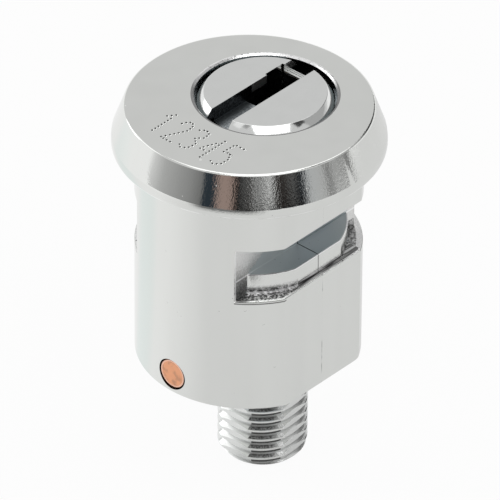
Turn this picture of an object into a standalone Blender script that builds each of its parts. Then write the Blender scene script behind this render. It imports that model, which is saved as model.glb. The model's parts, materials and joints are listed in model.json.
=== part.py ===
"""Keyed cam lock: a plated housing, a pin-tumbler plug with a threaded tail, and the pins between them.

Metres, +Z up. The origin is on the housing's axis, level with the end of the tail.
The plug's axis lies at +X from the housing's axis. The keyway runs along X, and the pins slide along X.
The body's two flats face +Y and -Y. The pins stand at the shear line, where the right key holds them.
"""
import math

import bmesh
import bpy
from mathutils import Matrix, Vector

# Heights of the whole lock
TAIL_LENGTH = 0.01155
SHOULDER_STANDOFF = 0.0003
HOUSING_HEIGHT = 0.0254

# Flange of the housing
FACE_RADIUS = 0.01085
FACE_EDGE = 0.00012
FLANGE_RADIUS = 0.01195
BEVEL_HEIGHT = 0.0029
SEAT_RADIUS = 0.0119
FLANGE_HEIGHT = 0.0039

# Body of the housing, with its two flats
BODY_RADIUS = 0.00995
BODY_EDGE = 0.0003
FLAT_DISTANCE = 0.00863
FLAT_ROOT = 0.0003

# Grooves for a horseshoe clip, one in each flat, with a lower step along the bottom
GROOVE_DEPTH_BELOW_FACE = 0.0087
GROOVE_HEIGHT = 0.00525
GROOVE_WALL_DISTANCE = 0.00567
STEP_HEIGHT = 0.00195
STEP_RADIUS = 0.0086
STEP_FLAT_DISTANCE = 0.0081
CLIP_BEND_DEPTH = 0.0006
CLIP_BEND_ANGLE = math.radians(50)

# Plug
PLUG_OFFSET = 0.00205
PLUG_RADIUS = 0.0051
BORE_CLEARANCE = 0.0002
FACE_STANDOFF = 0.00026
COLLAR_LIP = 0.00107
COLLAR_BEVEL_WIDTH = 0.00082
COLLAR_BEVEL_DROP = 0.00075
COLLAR_LAND = 0.0003
COLLAR_CLEARANCE = 0.00015
COLLAR_FLOOR_GAP = 0.0003
RECESS_EDGE = 0.0001

# Keyway, measured along X from the plug's axis
KEYWAY_WIDTH = 0.0025
KEYWAY_SHIFT = 0.00035
KEYWAY_START = -0.002
KEYWAY_END = 0.00345
KEYWAY_BEYOND_PINS = 0.0006
ENTRY_NOTCH_DEPTH = 0.00115
SILL_WIDTH = 0.00105
SILL_DEPTH = 0.0004
REAR_NOTCH_DEPTH = 0.0009

# Pin stacks
PIN_COUNT = 6
FIRST_PIN_DEPTH = 0.0028
PIN_PITCH = 0.0029
PIN_RADIUS = 0.0012
PIN_EDGE = 0.0002
PIN_CLEARANCE = 0.00012
SHEAR_GAP = 0.0003
KEY_PIN_INSET = 0.00018
SHORTEST_KEY_PIN = 0.004
KEY_PIN_STEP = 0.0003
KEY_PIN_STEPS = (3, 1, 4, 0, 2, 1)
KEY_PIN_LEAST_DROP = 0.0005
KEY_PIN_CONE = 0.0009
KEY_PIN_TIP_RADIUS = 0.00045
DRIVER_LENGTH = 0.0026
CHAMBER_WALL = 0.00095

# Pin springs
SPRING_RADIUS = 0.00095
SPRING_WIRE_RADIUS = 0.00013
SPRING_TURNS = 4
SPRING_POINTS_PER_TURN = 9
SPRING_END_GAP = 0.0003

# Retaining pin, and the groove that it runs in, which also stops the plug's turn
RETAINER_RADIUS = 0.00145
RETAINER_CLEARANCE = 0.00015
RETAINER_HEIGHT = 0.00195
RETAINER_SINK = 0.00015
RETAINER_EDGE = 0.0001
TURN_GROOVE_DEPTH = 0.0012
TURN_ANGLE = math.radians(90)
TURN_GROOVE_MARGIN = math.radians(3)

# Threaded tail
TAIL_RADIUS = 0.004
TAIL_FLAT_DISTANCE = 0.0037
TAIL_CHAMFER = 0.0006
THREAD_PITCH = 0.001
THREAD_DEPTH = 0.0006
THREAD_CREST = 0.00014
THREAD_ROOT = 0.00016
THREAD_RUNOUT = 0.0003
THREAD_CUT_MARGIN = 0.00005

# Facets of the round forms
BODY_FACETS = 72
PLUG_FACETS = 64
RETAINER_FACETS = 24
PIN_FACETS = 16
THREAD_FACETS = 24
MERGE_DISTANCE = 0.00001
SMOOTH_ANGLE = math.radians(35)
CUT_MARGIN = 0.001

# Levels and distances that follow from the sizes above
BODY_END = TAIL_LENGTH + SHOULDER_STANDOFF
FACE = BODY_END + HOUSING_HEIGHT
GROOVE_TOP = FACE - GROOVE_DEPTH_BELOW_FACE
GROOVE_LEDGE = GROOVE_TOP - GROOVE_HEIGHT
BORE_RADIUS = PLUG_RADIUS + BORE_CLEARANCE
COLLAR_RADIUS = PLUG_RADIUS + COLLAR_LIP
COLLAR_DEPTH = COLLAR_BEVEL_DROP + COLLAR_LAND
RECESS_RADIUS = COLLAR_RADIUS + COLLAR_CLEARANCE
RECESS_DEPTH = COLLAR_DEPTH - FACE_STANDOFF + COLLAR_FLOOR_GAP
CHAMBER_RADIUS = PIN_RADIUS + PIN_CLEARANCE
LAST_PIN_DEPTH = FIRST_PIN_DEPTH + (PIN_COUNT - 1) * PIN_PITCH
KEYWAY_FLOOR = FACE - LAST_PIN_DEPTH - CHAMBER_RADIUS - KEYWAY_BEYOND_PINS
KEY_PIN_OUTER_END = PLUG_OFFSET - PLUG_RADIUS + KEY_PIN_INSET
DRIVER_INNER_END = KEY_PIN_OUTER_END - SHEAR_GAP
DRIVER_OUTER_END = DRIVER_INNER_END - DRIVER_LENGTH
CHAMBER_END = -BODY_RADIUS + CHAMBER_WALL
LONGEST_KEY_PIN = SHORTEST_KEY_PIN + max(KEY_PIN_STEPS) * KEY_PIN_STEP
DROPPED_TIP = KEY_PIN_OUTER_END + LONGEST_KEY_PIN + KEY_PIN_LEAST_DROP
RETAINER_LEVEL = BODY_END + RETAINER_HEIGHT
TURN_GROOVE_RADIUS = PLUG_RADIUS - TURN_GROOVE_DEPTH
WIDE = FLANGE_RADIUS + CUT_MARGIN


def clear_scene():
    for item in list(bpy.data.objects):
        bpy.data.objects.remove(item, do_unlink=True)


def new_collection(name):
    collection = bpy.data.collections.new(name)
    bpy.context.scene.collection.children.link(collection)
    return collection


def new_material(name, color, roughness, metallic):
    material = bpy.data.materials.new(name)
    material.use_nodes = True
    shader = material.node_tree.nodes["Principled BSDF"]
    shader.inputs["Base Color"].default_value = (*color, 1.0)
    shader.inputs["Roughness"].default_value = roughness
    shader.inputs["Metallic"].default_value = metallic
    return material


def new_object(name, data, collection):
    item = bpy.data.objects.new(name, data)
    collection.objects.link(item)
    return item


def turned(name, profile, facets, collection):
    """A turned form about its own Z axis. The profile runs from top to bottom down the outer side."""
    mesh = bpy.data.meshes.new(name)
    points = [(radius, 0.0, height) for radius, height in profile]
    mesh.from_pydata(points, [(i, i + 1) for i in range(len(points) - 1)], [])
    item = new_object(name, mesh, collection)
    screw = item.modifiers.new("turn", "SCREW")
    screw.axis = "Z"
    screw.steps = facets
    screw.render_steps = facets
    screw.use_merge_vertices = True
    screw.merge_threshold = MERGE_DISTANCE
    return item


def box(name, low, high, collection):
    """A box between two opposite corners."""
    low, high = Vector(low), Vector(high)
    size = high - low
    form = bmesh.new()
    bmesh.ops.create_cube(form, size=1.0)
    bmesh.ops.scale(form, vec=size, verts=form.verts)
    bmesh.ops.translate(form, vec=(low + high) / 2, verts=form.verts)
    return from_bmesh(name, form, collection)


def rod_along_x(name, radius, start, end, facets, collection):
    """A round rod on the X axis, from x = start to x = end."""
    form = bmesh.new()
    place = Matrix.Translation(((start + end) / 2, 0, 0)) @ Matrix.Rotation(math.radians(90), 4, "Y")
    bmesh.ops.create_cone(form, cap_ends=True, segments=facets, radius1=radius, radius2=radius,
                          depth=end - start, matrix=place)
    return from_bmesh(name, form, collection)


def from_bmesh(name, form, collection):
    mesh = bpy.data.meshes.new(name)
    form.to_mesh(mesh)
    form.free()
    return new_object(name, mesh, collection)


def curve_as_mesh(curve_item, collection):
    """The mesh of a curve object, with its caps welded, in the curve's place."""
    name = curve_item.name
    curve_item.name = name + "_curve"
    bpy.context.view_layer.update()
    evaluated = curve_item.evaluated_get(bpy.context.evaluated_depsgraph_get())
    mesh = bpy.data.meshes.new_from_object(evaluated)
    form = bmesh.new()
    form.from_mesh(mesh)
    bmesh.ops.remove_doubles(form, verts=form.verts, dist=MERGE_DISTANCE)
    bmesh.ops.recalc_face_normals(form, faces=form.faces)
    form.to_mesh(mesh)
    form.free()
    item = new_object(name, mesh, collection)
    item.matrix_world = curve_item.matrix_world
    curve = curve_item.data
    bpy.data.objects.remove(curve_item, do_unlink=True)
    bpy.data.curves.remove(curve)
    return item


def close_ends(item):
    """Applies the modifiers of a swept section and closes its two open ends."""
    bpy.context.view_layer.update()
    evaluated = item.evaluated_get(bpy.context.evaluated_depsgraph_get())
    mesh = bpy.data.meshes.new_from_object(evaluated)
    form = bmesh.new()
    form.from_mesh(mesh)
    bmesh.ops.holes_fill(form, edges=form.edges, sides=0)
    bmesh.ops.recalc_face_normals(form, faces=form.faces)
    form.to_mesh(mesh)
    form.free()
    item.modifiers.clear()
    item.data = mesh


def prism(name, outline, low, high, collection):
    """A flat outline in X and Y, given thickness from z = low to z = high."""
    curve = bpy.data.curves.new(name, "CURVE")
    curve.dimensions = "2D"
    curve.fill_mode = "BOTH"
    curve.extrude = (high - low) / 2
    spline = curve.splines.new("POLY")
    spline.points.add(len(outline) - 1)
    for point, (x, y) in zip(spline.points, outline):
        point.co = (x, y, 0.0, 1.0)
    spline.use_cyclic_u = True
    item = new_object(name, curve, collection)
    item.location.z = (low + high) / 2
    return curve_as_mesh(item, collection)


def arc(radius, start, end, steps, center_x=0.0):
    """Points along an arc about a vertical axis at x = center_x."""
    angles = [start + (end - start) * i / steps for i in range(steps + 1)]
    return [(center_x + radius * math.cos(a), radius * math.sin(a)) for a in angles]


def sector(name, inner, outer, start, end, low, high, center_x, collection):
    """Part of a flat ring between two radii and two angles."""
    steps = 2 * round(BODY_FACETS * (end - start) / math.tau / 2) + 1
    outline = arc(outer, start, end, steps, center_x) + arc(inner, end, start, steps, center_x)
    return prism(name, outline, low, high, collection)


def step_outline():
    """The step's D shape on both sides: a circle cut by two flats."""
    corner = math.asin(STEP_FLAT_DISTANCE / STEP_RADIUS)
    steps = BODY_FACETS // 3
    right = arc(STEP_RADIUS, -corner, corner, steps)
    left = arc(STEP_RADIUS, math.pi - corner, math.pi + corner, steps)
    return right + left


def boolean(item, other, operation="DIFFERENCE"):
    modifier = item.modifiers.new(other.name, "BOOLEAN")
    modifier.operation = operation
    modifier.object = other
    modifier.solver = "EXACT"


def repeat_stacks(item, step):
    """Repeats a cutter once for each pin stack, moved by a step in the cutter's own axes each time."""
    array = item.modifiers.new("stacks", "ARRAY")
    array.count = PIN_COUNT
    array.use_relative_offset = False
    array.use_constant_offset = True
    array.constant_offset_displace = step


def finish(item, material):
    """Applies the modifiers, shades the round faces smooth and sets the material."""
    bpy.context.view_layer.update()
    evaluated = item.evaluated_get(bpy.context.evaluated_depsgraph_get())
    mesh = bpy.data.meshes.new_from_object(evaluated)
    item.modifiers.clear()
    item.data = mesh
    mesh.name = item.name
    mesh.materials.clear()
    mesh.materials.append(material)
    mesh.shade_smooth()
    mesh.set_sharp_from_angle(angle=SMOOTH_ANGLE)


def clip_groove_cutter(cutters):
    """Both clip grooves in one cutter, with the step left standing and the clip's bend at +X."""
    slot = box("clip_groove_cutter", (-WIDE, GROOVE_WALL_DISTANCE, GROOVE_LEDGE),
               (WIDE, WIDE, GROOVE_TOP), cutters)
    opposite = box("opposite_groove_cutter", (-WIDE, -WIDE, GROOVE_LEDGE),
                   (WIDE, -GROOVE_WALL_DISTANCE, GROOVE_TOP), cutters)
    bend = sector("clip_bend_cutter", BODY_RADIUS - CLIP_BEND_DEPTH, WIDE, -CLIP_BEND_ANGLE,
                  CLIP_BEND_ANGLE, GROOVE_LEDGE, GROOVE_TOP, 0.0, cutters)
    step = prism("clip_step_core", step_outline(), GROOVE_LEDGE - CUT_MARGIN,
                 GROOVE_LEDGE + STEP_HEIGHT, cutters)
    boolean(slot, opposite, "UNION")
    boolean(slot, bend, "UNION")
    boolean(slot, step)
    return slot


def bore_cutter(cutters):
    """The plug's bore, with the wider recess for its collar in the face."""
    mouth = RECESS_RADIUS + RECESS_EDGE
    profile = [
        (0.0, CUT_MARGIN),
        (mouth + CUT_MARGIN, CUT_MARGIN),
        (mouth, 0.0),
        (RECESS_RADIUS, -RECESS_EDGE),
        (RECESS_RADIUS, -RECESS_DEPTH),
        (BORE_RADIUS, -RECESS_DEPTH),
        (BORE_RADIUS, -HOUSING_HEIGHT - CUT_MARGIN),
        (0.0, -HOUSING_HEIGHT - CUT_MARGIN),
    ]
    cutter = turned("bore_cutter", profile, PLUG_FACETS, cutters)
    cutter.location = (PLUG_OFFSET, 0.0, FACE)
    return cutter


def driver_chamber_cutter(cutters):
    """Blind chambers for the driver pins and springs, drilled through the bore towards -X."""
    cutter = rod_along_x("driver_chamber_cutter", CHAMBER_RADIUS, CHAMBER_END, PLUG_OFFSET,
                         PIN_FACETS, cutters)
    cutter.location.z = FACE - FIRST_PIN_DEPTH
    repeat_stacks(cutter, (0.0, 0.0, -PIN_PITCH))
    return cutter


def make_housing(parts, cutters, material):
    """Flange and body, cast as one piece, with flats, clip grooves, bore, chambers and pin hole."""
    profile = [
        (0.0, FACE),
        (FACE_RADIUS - FACE_EDGE, FACE),
        (FACE_RADIUS, FACE - FACE_EDGE),
        (FLANGE_RADIUS, FACE - BEVEL_HEIGHT),
        (SEAT_RADIUS, FACE - FLANGE_HEIGHT),
        (BODY_RADIUS, FACE - FLANGE_HEIGHT),
        (BODY_RADIUS, BODY_END + BODY_EDGE),
        (BODY_RADIUS - BODY_EDGE, BODY_END),
        (0.0, BODY_END),
    ]
    housing = turned("housing", profile, BODY_FACETS, parts)
    for side, name in ((1, "rear_flat_cutter"), (-1, "front_flat_cutter")):
        near, far = sorted((side * FLAT_DISTANCE, side * WIDE))
        flat = box(name, (-WIDE, near, BODY_END - CUT_MARGIN),
                   (WIDE, far, FACE - FLANGE_HEIGHT - FLAT_ROOT), cutters)
        boolean(housing, flat)
    boolean(housing, clip_groove_cutter(cutters))
    boolean(housing, bore_cutter(cutters))
    boolean(housing, driver_chamber_cutter(cutters))
    hole = rod_along_x("retaining_pin_hole_cutter", RETAINER_RADIUS + RETAINER_CLEARANCE, -WIDE,
                       PLUG_OFFSET, RETAINER_FACETS, cutters)
    hole.location.z = RETAINER_LEVEL
    boolean(housing, hole)
    finish(housing, material)
    return housing


def keyway_box(name, start, end, depth, cutters):
    """A slot as wide as the keyway, between two distances from the plug's axis."""
    half = KEYWAY_WIDTH / 2
    top = FACE + FACE_STANDOFF + CUT_MARGIN
    return box(name, (PLUG_OFFSET + start, KEYWAY_SHIFT - half, FACE - depth),
               (PLUG_OFFSET + end, KEYWAY_SHIFT + half, top), cutters)


def cut_keyway(plug, cutters):
    """The deep keyway, with its entry notch at -X, and a low sill and notch at +X."""
    beyond_rim = COLLAR_RADIUS + CUT_MARGIN
    deep = keyway_box("keyway_cutter", KEYWAY_START, KEYWAY_END, FACE - KEYWAY_FLOOR, cutters)
    entry = keyway_box("entry_notch_cutter", -beyond_rim, KEYWAY_START + CUT_MARGIN,
                       ENTRY_NOTCH_DEPTH, cutters)
    sill = keyway_box("sill_cutter", KEYWAY_END - CUT_MARGIN, beyond_rim, SILL_DEPTH, cutters)
    rear = keyway_box("rear_notch_cutter", KEYWAY_END + SILL_WIDTH, beyond_rim, REAR_NOTCH_DEPTH, cutters)
    for cutter in (deep, entry, sill, rear):
        boolean(plug, cutter)


def key_chamber_cutter(cutters):
    """Chambers for the key pins, each with a cone that stops the dropped pin."""
    shoulder = DROPPED_TIP - KEY_PIN_CONE
    start = PLUG_OFFSET - PLUG_RADIUS - CUT_MARGIN
    profile = [
        (0.0, DROPPED_TIP + PIN_CLEARANCE - start),
        (KEY_PIN_TIP_RADIUS + PIN_CLEARANCE, DROPPED_TIP + PIN_CLEARANCE - start),
        (CHAMBER_RADIUS, shoulder + PIN_CLEARANCE - start),
        (CHAMBER_RADIUS, 0.0),
        (0.0, 0.0),
    ]
    cutter = turned("key_chamber_cutter", profile, PIN_FACETS, cutters)
    cutter.rotation_euler.y = math.radians(90)
    cutter.location = (start, 0.0, FACE - FIRST_PIN_DEPTH)
    repeat_stacks(cutter, (PIN_PITCH, 0.0, 0.0))
    return cutter


def turn_groove_cutter(cutters):
    """The arc round the plug that the retaining pin runs in. Its two ends stop the turn."""
    reach = math.asin((RETAINER_RADIUS + RETAINER_CLEARANCE) / TURN_GROOVE_RADIUS) + TURN_GROOVE_MARGIN
    half_height = RETAINER_RADIUS + RETAINER_CLEARANCE
    return sector("turn_groove_cutter", TURN_GROOVE_RADIUS, PLUG_RADIUS + CUT_MARGIN,
                  math.pi - reach, math.pi + TURN_ANGLE + reach, RETAINER_LEVEL - half_height,
                  RETAINER_LEVEL + half_height, PLUG_OFFSET, cutters)


def cut_tail_flats(plug, cutters):
    """Four flats along the tail, square to the keyway, which carry the cam."""
    reach = TAIL_RADIUS + CUT_MARGIN
    low, high = -CUT_MARGIN, TAIL_LENGTH
    near = TAIL_FLAT_DISTANCE
    places = {
        "right": ((near, -reach), (reach, reach)),
        "left": ((-reach, -reach), (-near, reach)),
        "rear": ((-reach, near), (reach, reach)),
        "front": ((-reach, -reach), (reach, -near)),
    }
    for side, (first, second) in places.items():
        cutter = box(f"{side}_tail_flat_cutter", (PLUG_OFFSET + first[0], first[1], low),
                     (PLUG_OFFSET + second[0], second[1], high), cutters)
        boolean(plug, cutter)


def thread_cutter(cutters):
    """A bar of V section wound round the tail as a right-hand helix. What it leaves is the thread."""
    top = TAIL_LENGTH - THREAD_RUNOUT
    turns = math.ceil(top / THREAD_PITCH) + 1
    half_root = THREAD_ROOT / 2
    half_gap = (THREAD_PITCH - THREAD_CREST) / 2
    flank = (half_gap - half_root) / THREAD_DEPTH
    half_mouth = half_gap + flank * THREAD_CUT_MARGIN
    root = TAIL_RADIUS - THREAD_DEPTH
    mouth = TAIL_RADIUS + THREAD_CUT_MARGIN
    section = [
        (mouth, 0.0, half_mouth),
        (mouth, 0.0, -half_mouth),
        (root, 0.0, -half_root),
        (root, 0.0, half_root),
    ]
    mesh = bpy.data.meshes.new("thread_cutter")
    mesh.from_pydata(section, [(0, 1), (1, 2), (2, 3), (3, 0)], [])
    cutter = new_object("thread_cutter", mesh, cutters)
    screw = cutter.modifiers.new("helix", "SCREW")
    screw.axis = "Z"
    screw.screw_offset = THREAD_PITCH
    screw.iterations = turns
    screw.steps = THREAD_FACETS
    screw.render_steps = THREAD_FACETS
    close_ends(cutter)
    cutter.location = (PLUG_OFFSET, 0.0, top - half_gap - turns * THREAD_PITCH)
    return cutter


def make_plug(parts, cutters, material):
    """The plug that the key turns, turned in one piece with its collar and tail."""
    top = FACE_STANDOFF
    shoulder = TAIL_LENGTH - FACE
    profile = [
        (0.0, top),
        (COLLAR_RADIUS - COLLAR_BEVEL_WIDTH, top),
        (COLLAR_RADIUS, top - COLLAR_BEVEL_DROP),
        (COLLAR_RADIUS, top - COLLAR_DEPTH),
        (PLUG_RADIUS, top - COLLAR_DEPTH),
        (PLUG_RADIUS, shoulder),
        (TAIL_RADIUS, shoulder),
        (TAIL_RADIUS, TAIL_CHAMFER - FACE),
        (TAIL_RADIUS - TAIL_CHAMFER, -FACE),
        (0.0, -FACE),
    ]
    plug = turned("plug", profile, PLUG_FACETS, parts)
    plug.location = (PLUG_OFFSET, 0.0, FACE)
    cut_keyway(plug, cutters)
    boolean(plug, key_chamber_cutter(cutters))
    boolean(plug, turn_groove_cutter(cutters))
    cut_tail_flats(plug, cutters)
    boolean(plug, thread_cutter(cutters))
    finish(plug, material)
    return plug


def pin_depth(index):
    return FIRST_PIN_DEPTH + index * PIN_PITCH


def lay_along_x(item, parent, x, depth):
    """Lays a form that was turned about Z along +X, at a depth below the face, on its parent."""
    item.parent = parent
    item.rotation_euler.y = math.radians(90)
    item.location = Vector((x, 0.0, FACE - depth)) - parent.location


def make_key_pin(index, plug, parts, material):
    """A key pin: flat at the shear line, with a cone that rests in the key's cut."""
    length = SHORTEST_KEY_PIN + KEY_PIN_STEPS[index] * KEY_PIN_STEP
    profile = [
        (0.0, length),
        (KEY_PIN_TIP_RADIUS, length),
        (PIN_RADIUS, length - KEY_PIN_CONE),
        (PIN_RADIUS, PIN_EDGE),
        (PIN_RADIUS - PIN_EDGE, 0.0),
        (0.0, 0.0),
    ]
    pin = turned(f"key_pin_{index + 1}", profile, PIN_FACETS, parts)
    lay_along_x(pin, plug, KEY_PIN_OUTER_END, pin_depth(index))
    finish(pin, material)


def make_driver_pin(index, housing, parts, material):
    """A driver pin: a plain slug with broken edges."""
    profile = [
        (0.0, DRIVER_LENGTH),
        (PIN_RADIUS - PIN_EDGE, DRIVER_LENGTH),
        (PIN_RADIUS, DRIVER_LENGTH - PIN_EDGE),
        (PIN_RADIUS, PIN_EDGE),
        (PIN_RADIUS - PIN_EDGE, 0.0),
        (0.0, 0.0),
    ]
    pin = turned(f"driver_pin_{index + 1}", profile, PIN_FACETS, parts)
    lay_along_x(pin, housing, DRIVER_OUTER_END, pin_depth(index))
    finish(pin, material)


def make_spring(index, housing, parts, material):
    """A coil spring between the blind end of the chamber and the driver pin."""
    start = CHAMBER_END + SPRING_END_GAP + SPRING_WIRE_RADIUS
    end = DRIVER_OUTER_END - SPRING_END_GAP - SPRING_WIRE_RADIUS
    count = SPRING_TURNS * SPRING_POINTS_PER_TURN + 1
    curve = bpy.data.curves.new(f"pin_spring_{index + 1}", "CURVE")
    curve.dimensions = "3D"
    curve.bevel_depth = SPRING_WIRE_RADIUS
    curve.bevel_resolution = 2
    curve.use_fill_caps = True
    spline = curve.splines.new("POLY")
    spline.points.add(count - 1)
    for i, point in enumerate(spline.points):
        angle = math.tau * i / SPRING_POINTS_PER_TURN
        height = (end - start) * i / (count - 1)
        point.co = (SPRING_RADIUS * math.cos(angle), SPRING_RADIUS * math.sin(angle), height, 1.0)
    coil = curve_as_mesh(new_object(f"pin_spring_{index + 1}", curve, parts), parts)
    lay_along_x(coil, housing, start, pin_depth(index))
    finish(coil, material)


def make_retaining_pin(housing, parts, material):
    """The pin driven in from -X, which keeps the plug in and runs in its turn groove."""
    outer = -BODY_RADIUS + RETAINER_SINK
    inner = PLUG_OFFSET - TURN_GROOVE_RADIUS - SHEAR_GAP
    length = inner - outer
    profile = [
        (0.0, length),
        (RETAINER_RADIUS - RETAINER_EDGE, length),
        (RETAINER_RADIUS, length - RETAINER_EDGE),
        (RETAINER_RADIUS, RETAINER_EDGE),
        (RETAINER_RADIUS - RETAINER_EDGE, 0.0),
        (0.0, 0.0),
    ]
    pin = turned("retaining_pin", profile, RETAINER_FACETS, parts)
    lay_along_x(pin, housing, outer, FACE - RETAINER_LEVEL)
    finish(pin, material)


def hide_cutters(cutters):
    for cutter in cutters.objects:
        cutter.display_type = "WIRE"
        cutter.hide_render = True


def main():
    clear_scene()
    parts = new_collection("keyed_cam_lock")
    cutters = new_collection("cutters")
    chrome = new_material("bright_plate", (0.62, 0.63, 0.62), 0.22, 1.0)
    satin = new_material("satin_plate", (0.56, 0.57, 0.56), 0.3, 1.0)
    copper = new_material("copper", (0.72, 0.36, 0.2), 0.4, 1.0)
    brass = new_material("brass", (0.72, 0.55, 0.25), 0.35, 1.0)
    steel = new_material("spring_steel", (0.5, 0.5, 0.5), 0.35, 1.0)
    housing = make_housing(parts, cutters, chrome)
    plug = make_plug(parts, cutters, satin)
    make_retaining_pin(housing, parts, copper)
    for index in range(PIN_COUNT):
        make_key_pin(index, plug, parts, brass)
        make_driver_pin(index, housing, parts, brass)
        make_spring(index, housing, parts, steel)
    hide_cutters(cutters)


main()
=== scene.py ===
"""The looks of the keyed cam lock: bright plated castings, a copper pin and a threaded tail.

Metres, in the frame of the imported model. +X runs from the housing's axis to the plug's axis, the keyway
lies along X, and the body's flats face +Y and -Y. The photograph is taken from between -X and -Y.
"""
import json
import math

import bpy
from mathutils import Matrix, Vector


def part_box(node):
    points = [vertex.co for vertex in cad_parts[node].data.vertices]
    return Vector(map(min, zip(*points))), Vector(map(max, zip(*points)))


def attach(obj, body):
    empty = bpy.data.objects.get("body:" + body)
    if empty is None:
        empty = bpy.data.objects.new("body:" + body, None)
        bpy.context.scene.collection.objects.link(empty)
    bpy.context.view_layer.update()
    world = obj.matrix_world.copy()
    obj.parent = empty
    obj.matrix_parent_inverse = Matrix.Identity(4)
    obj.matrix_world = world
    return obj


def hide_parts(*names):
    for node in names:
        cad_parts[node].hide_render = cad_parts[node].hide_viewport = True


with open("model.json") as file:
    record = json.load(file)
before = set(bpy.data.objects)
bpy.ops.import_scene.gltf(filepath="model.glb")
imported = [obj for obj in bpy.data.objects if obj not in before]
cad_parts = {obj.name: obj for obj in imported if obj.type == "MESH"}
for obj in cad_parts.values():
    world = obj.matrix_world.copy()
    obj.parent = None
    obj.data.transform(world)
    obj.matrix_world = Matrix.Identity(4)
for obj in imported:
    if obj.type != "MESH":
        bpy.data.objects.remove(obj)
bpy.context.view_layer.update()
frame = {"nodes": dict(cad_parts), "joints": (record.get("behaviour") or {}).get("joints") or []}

MM = 0.001


def gray(value):
    return (value, value, value, 1)


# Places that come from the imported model
HOUSING_LOW, HOUSING_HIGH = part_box("housing")
RETAINER_LOW, RETAINER_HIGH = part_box("retaining_pin")
FACE = HOUSING_HIGH.z
BODY_END = HOUSING_LOW.z
FLANGE_RADIUS = HOUSING_HIGH.x
PLUG_X = next(joint["pos_m"][0] for joint in frame["joints"] if joint["name"] == "plug_turn")
PLUG_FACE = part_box("plug")[1].z
RETAINER_RADIUS = (RETAINER_HIGH.y - RETAINER_LOW.y) / 2
RETAINER_LEVEL = (RETAINER_HIGH.z + RETAINER_LOW.z) / 2

# Flange and body
FACE_RADIUS = 10.85 * MM
BEVEL_HEIGHT = 2.9 * MM
SEAT_RADIUS = 11.9 * MM
FLANGE_HEIGHT = 3.9 * MM
BODY_RADIUS = 9.95 * MM
FLAT_DISTANCE = 8.63 * MM
FLAT_ROOT = 0.3 * MM
RIM_ROUND = 0.28 * MM
LAND_RADII = (11.9 * MM, 11.93 * MM, FLANGE_RADIUS, FLANGE_RADIUS)
SEAT_EDGE_ROUND = 0.35 * MM
BODY_END_ROUND = 0.3 * MM
CUT_EDGE_EASE = 0.09 * MM
SEAM_HALF_WIDTH = 0.07 * MM
SEAM_DEPTH = 0.04 * MM

# Clip grooves
GROOVE_TOP = FACE - 8.7 * MM
GROOVE_LEDGE = GROOVE_TOP - 5.25 * MM
GROOVE_WALL = 5.67 * MM
STEP_LEVEL = GROOVE_LEDGE + 1.95 * MM
STEP_RADIUS = 8.6 * MM
STEP_FLAT = 8.1 * MM
STEP_END = 6.5 * MM
BEND_RADIUS = 9.35 * MM
BEND_HALF_WIDTH = 6.4 * MM

# Recess and bore
RECESS_RADIUS = 6.2 * MM
RECESS_DEPTH = 1.09 * MM
RECESS_EDGE = 0.14 * MM
BORE_RADIUS = 5.3 * MM
CHAMBER_RADIUS = 1.32 * MM
CHAMBER_END = -9.0 * MM
PIN_HOLE_RADIUS = 1.5 * MM

# Plug
COLLAR_RADIUS = 6.03 * MM
PLUG_FACE_RADIUS = 5.35 * MM
COLLAR_DROP = 0.75 * MM
COLLAR_DEPTH = 1.05 * MM
PLUG_RADIUS = 5.1 * MM
SHOULDER = 11.55 * MM
PLUG_EDGE_ROUND = 0.06 * MM
TURN_GROOVE_RADIUS = 3.9 * MM
TURN_GROOVE_HALF_HEIGHT = 1.6 * MM
TURN_ROOM = math.radians(3)

# Keyway, with a small jog in its far edge beside the sill
KEYWAY_WIDTH = 2.5 * MM
KEYWAY_SHIFT = 0.35 * MM
KEYWAY_START = -2.0 * MM
KEYWAY_END = 4.2 * MM
KEYWAY_DEPTH = 19.22 * MM
ENTRY_DEPTH = 1.15 * MM
SHELF_END = -0.7 * MM
SHELF_THICKNESS = 0.33 * MM
SILL_WIDTH = 0.65 * MM
SILL_DEPTH = 0.4 * MM
REAR_NOTCH_DEPTH = 0.9 * MM
SILL_SCORES = (0.3, 0.65)
SCORE_WIDTH = 0.12 * MM
JOG_START = 1.95 * MM
JOG_WIDTH = 0.2 * MM
JOG_DEPTH = 5.0 * MM

# Pin stacks
PIN_COUNT = 6
FIRST_PIN_DEPTH = 2.8 * MM
PIN_PITCH = 2.9 * MM
KEY_CHAMBER_TIP = 2.95 * MM
KEY_CHAMBER_CONE = 0.9 * MM
KEY_CHAMBER_TIP_RADIUS = 0.57 * MM

# Tail with a metric thread, cut by four flats
TAIL_RADIUS = 4.0 * MM
TAIL_ROOT_RADIUS = 3.5 * MM
TAIL_FLAT = 3.7 * MM
TAIL_CHAMFER = 0.6 * MM
THREAD_PITCH = 1.0 * MM
THREAD_CREST = 0.14 * MM
THREAD_ROOT = 0.16 * MM
SPARE_PITCHES = 4
SCREW_STEPS = 96
SCREW_MERGE = 0.001 * MM
THREAD_MERGE = 0.002 * MM
ROD_SPARE = 0.3 * MM

# Dot-peened number on the face
NUMBER = "12345"
NUMBER_CENTER = Vector((-7.2 * MM, -0.17 * MM))
NUMBER_HEIGHT = 3.4 * MM
NUMBER_WIDTH = 1.15 * MM
NUMBER_ADVANCE = 1.82 * MM
DOT_SPACING = 0.4 * MM
DOT_CLEARANCE = 0.7
DOT_RADIUS = 0.12 * MM
DOT_DEPTH = 0.1 * MM
BURR_RADIUS = 0.1 * MM
BURR_HEIGHT = 0.09 * MM
BURR_SHIFT = 0.18 * MM

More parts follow.
